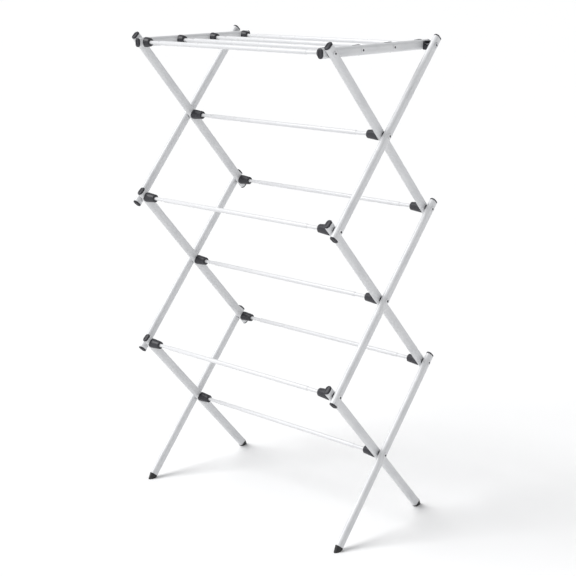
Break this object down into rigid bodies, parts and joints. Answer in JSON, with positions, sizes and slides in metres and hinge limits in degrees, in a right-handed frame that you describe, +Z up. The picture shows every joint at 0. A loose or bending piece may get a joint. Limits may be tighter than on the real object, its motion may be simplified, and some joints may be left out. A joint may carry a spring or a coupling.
{
  "type": "clothes drying rack",
  "caption": "Folding scissor clothes rack of flat-oval tubes with round hanging rods, plastic connectors and a lift-up top shelf that hooks over pins to hold it open.",
  "frame": {"origin": "on the floor, midway between the four feet", "axes": "+X along the hanging rods, to the right as seen from the front; -Y is the front; +Z is up"},
  "size_m": [0.5922, 0.3456, 1.0401],
  "materials": {
    "white_tube": "satin white powder coat",
    "white_rod": "smooth satin white coating",
    "charcoal_plastic": "fine moulded texture, satin",
    "black_foot": "matt",
    "steel_pin": "plain zinc"
  },
  "bodies": {
    "bottom_inner": {"leg_bottom_inner_left": "white_tube", "leg_bottom_inner_right": "white_tube", "foot_back_left": "black_foot", "foot_back_right": "black_foot", "rod_bottom_cross": "white_rod", "rod_lower_front": "white_rod", "connector_bottom_cross_left": "charcoal_plastic", "connector_bottom_cross_right": "charcoal_plastic", "connector_lower_front_left": "charcoal_plastic", "connector_lower_front_right": "charcoal_plastic"},
    "bottom_outer": {"leg_bottom_outer_left": "white_tube", "leg_bottom_outer_right": "white_tube", "foot_front_left": "black_foot", "foot_front_right": "black_foot"},
    "middle_inner": {"leg_middle_inner_left": "white_tube", "leg_middle_inner_right": "white_tube", "rod_middle_cross": "white_rod", "rod_upper_front": "white_rod", "rod_lower_back": "white_rod", "connector_middle_cross_left": "charcoal_plastic", "connector_middle_cross_right": "charcoal_plastic", "connector_upper_front_left": "charcoal_plastic", "connector_upper_front_right": "charcoal_plastic", "connector_lower_back_left": "charcoal_plastic", "connector_lower_back_right": "charcoal_plastic"},
    "middle_outer": {"leg_middle_outer_left": "white_tube", "leg_middle_outer_right": "white_tube"},
    "top_inner": {"leg_top_inner_left": "white_tube", "leg_top_inner_right": "white_tube", "rod_top_cross": "white_rod", "rod_upper_back": "white_rod", "connector_top_cross_left": "charcoal_plastic", "connector_top_cross_right": "charcoal_plastic", "connector_upper_back_left": "charcoal_plastic", "connector_upper_back_right": "charcoal_plastic"},
    "top_outer": {"leg_top_outer_left": "white_tube", "leg_top_outer_right": "white_tube", "latch_pin_left": "steel_pin", "latch_pin_right": "steel_pin"},
    "shelf": {"rail_left": "white_tube", "rail_right": "white_tube", "rail_cap_front_left": "charcoal_plastic", "rail_cap_front_right": "charcoal_plastic", "rail_cap_back_left": "charcoal_plastic", "rail_cap_back_right": "charcoal_plastic", "hook_left": "charcoal_plastic", "hook_right": "charcoal_plastic", "rod_shelf_front": "white_rod", "rod_shelf_second": "white_rod", "rod_shelf_third": "white_rod", "rod_shelf_back": "white_rod", "connector_shelf_front_left": "charcoal_plastic", "connector_shelf_front_right": "charcoal_plastic", "connector_shelf_second_left": "charcoal_plastic", "connector_shelf_second_right": "charcoal_plastic", "connector_shelf_third_left": "charcoal_plastic", "connector_shelf_third_right": "charcoal_plastic", "connector_shelf_back_left": "charcoal_plastic", "connector_shelf_back_right": "charcoal_plastic"}
  },
  "joints": [
    {"name": "fold", "type": "hinge", "parent": "bottom_outer", "child": "bottom_inner", "pos_m": [0, 0, 0.17], "axis": [-1, 0, 0], "range_deg": [0, 69]},
    {"name": "fold_middle_inner", "type": "hinge", "parent": "bottom_outer", "child": "middle_inner", "pos_m": [0, 0.15, 0.34], "axis": [-1, 0, 0], "range_deg": [0, 69]},
    {"name": "fold_middle_outer", "type": "hinge", "parent": "middle_inner", "child": "middle_outer", "pos_m": [0, 0, 0.51], "axis": [1, 0, 0], "range_deg": [0, 69]},
    {"name": "fold_top_inner", "type": "hinge", "parent": "middle_outer", "child": "top_inner", "pos_m": [0, 0.15, 0.68], "axis": [-1, 0, 0], "range_deg": [0, 69]},
    {"name": "fold_top_outer", "type": "hinge", "parent": "top_inner", "child": "top_outer", "pos_m": [0, 0, 0.85], "axis": [1, 0, 0], "range_deg": [0, 69]},
    {"name": "shelf_lift", "type": "hinge", "parent": "top_inner", "child": "shelf", "pos_m": [0, -0.15, 1.02], "axis": [1, 0, 0], "range_deg": [0, 130]}
  ],
  "couplings": [
    {"joint": "fold_middle_inner", "follows": "fold", "ratio": 1},
    {"joint": "fold_middle_outer", "follows": "fold", "ratio": 1},
    {"joint": "fold_top_inner", "follows": "fold", "ratio": 1},
    {"joint": "fold_top_outer", "follows": "fold", "ratio": 1}
  ]
}
